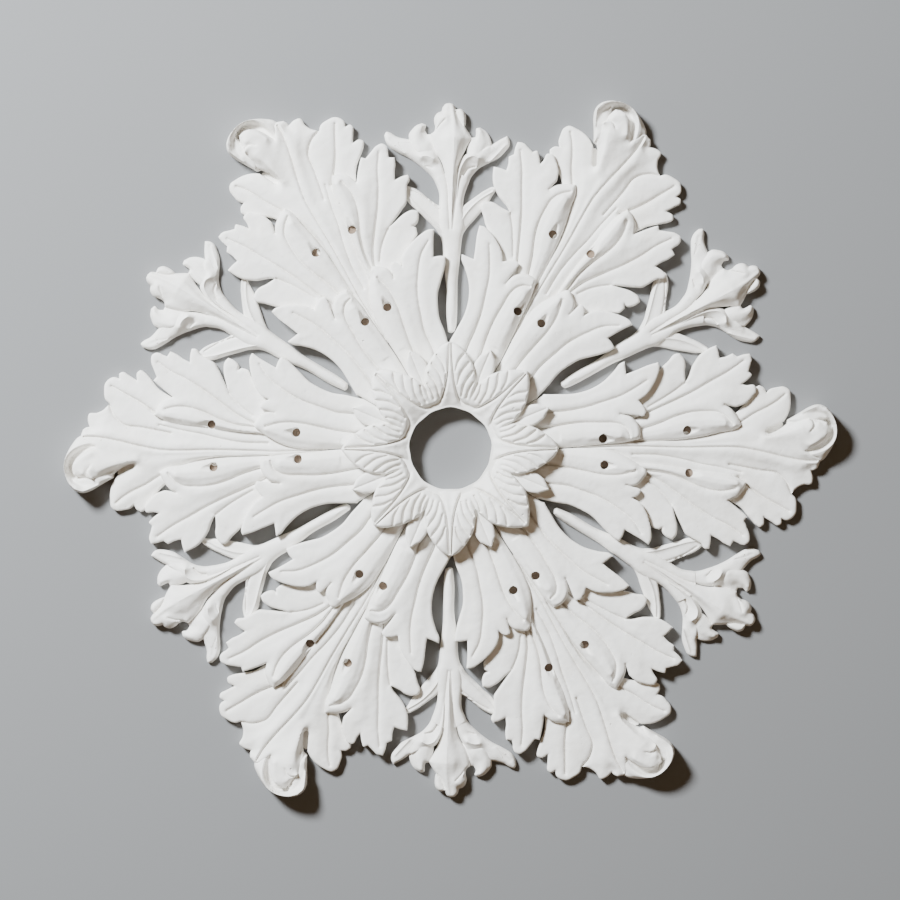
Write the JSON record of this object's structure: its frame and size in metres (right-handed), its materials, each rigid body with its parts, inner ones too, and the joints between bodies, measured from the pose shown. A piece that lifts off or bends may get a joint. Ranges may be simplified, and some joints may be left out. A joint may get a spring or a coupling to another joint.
{
  "type": "ceiling rose",
  "caption": "Round plaster ceiling rose: a petalled ring with an open middle, set round with curled acanthus leaves and lily sprigs, flat behind.",
  "frame": {"origin": "middle of the lamp hole in the flat back plane that meets the ceiling", "axes": "+Z out of the carved face, away from the ceiling, so the rose lies on its back as in the picture; +X along one acanthus leaf, +Y along one lily sprig"},
  "size_m": [0.8514, 0.7673, 0.039],
  "materials": {
    "plaster": "bare cast gypsum plaster, matt off-white with small air holes"
  },
  "bodies": {
    "root": {"acanthus_leaf_1": "plaster", "acanthus_leaf_2": "plaster", "acanthus_leaf_3": "plaster", "acanthus_leaf_4": "plaster", "acanthus_leaf_5": "plaster", "acanthus_leaf_6": "plaster", "lily_sprig_1": "plaster", "lily_sprig_2": "plaster", "lily_sprig_3": "plaster", "lily_sprig_4": "plaster", "lily_sprig_5": "plaster", "lily_sprig_6": "plaster", "centre_ring": "plaster"}
  },
  "joints": []
}
